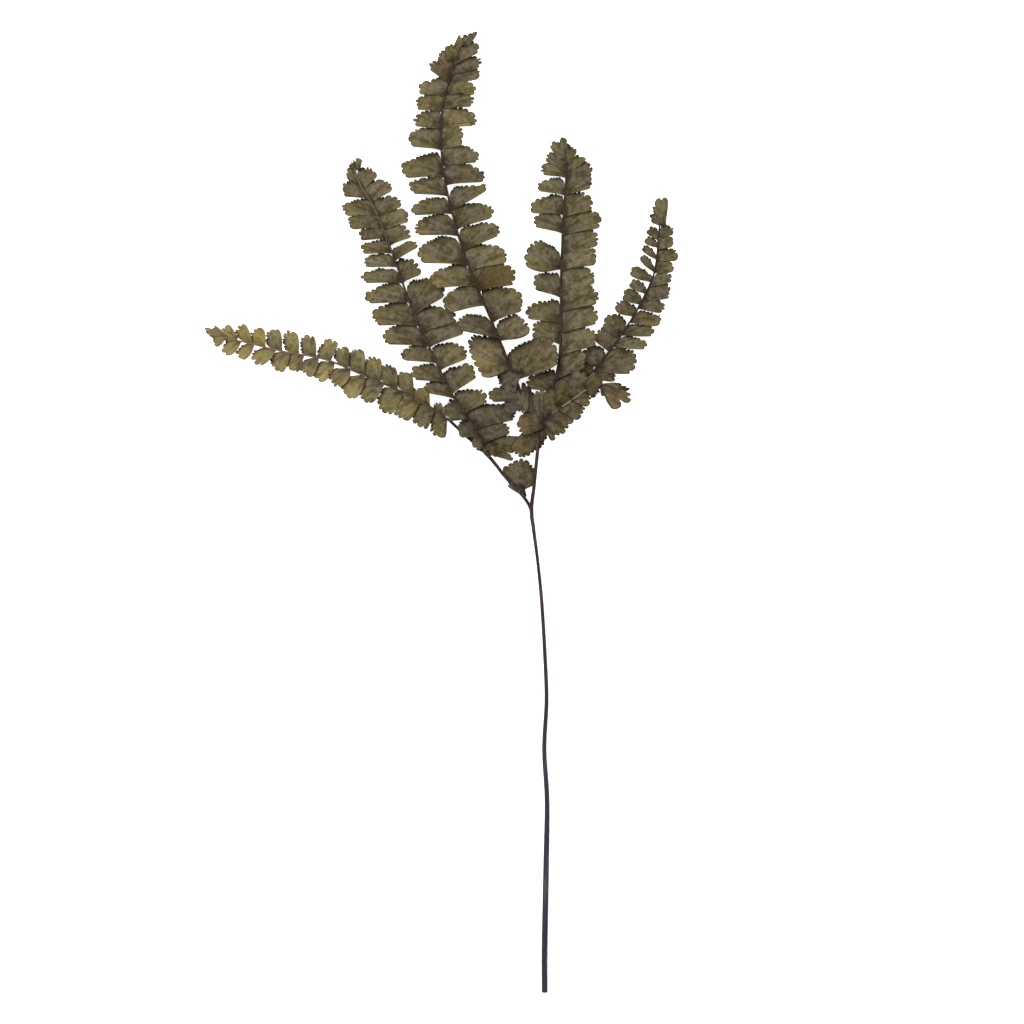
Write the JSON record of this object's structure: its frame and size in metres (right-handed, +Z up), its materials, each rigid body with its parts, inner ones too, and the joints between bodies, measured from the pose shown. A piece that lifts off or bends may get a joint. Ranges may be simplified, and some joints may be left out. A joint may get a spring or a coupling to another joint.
{
  "type": "maidenhair fern frond",
  "caption": "Cut, dried maidenhair fern frond lying down: dark forked stalk, long fanned pinnae with two rows of small toothed leaflets.",
  "frame": {"origin": "on the surface the frond lies on, under the middle of its box", "axes": "+Z up from the surface, +Y from the cut end of the stalk towards the leaf tips, +X to the right"},
  "size_m": [0.2758, 0.561, 0.0193],
  "materials": {
    "dark_stem": "smooth, hard and slightly glossy, blue-black to maroon",
    "light_leaf": "matt, supple preserved leaf, yellow-olive",
    "olive_leaf": "matt, supple preserved leaf, brown-olive",
    "dark_leaf": "matt, supple preserved leaf, dark olive",
    "brown_leaf": "matt, supple preserved leaf, red-brown"
  },
  "bodies": {
    "root": {"stipe": "dark_stem", "pinna_far_left": "light_leaf", "pinna_left": "olive_leaf", "pinna_centre": "olive_leaf", "pinna_right": "dark_leaf", "pinna_far_right": "dark_leaf", "pinna_low_right": "brown_leaf", "basal_leaflet": "olive_leaf"}
  },
  "joints": []
}
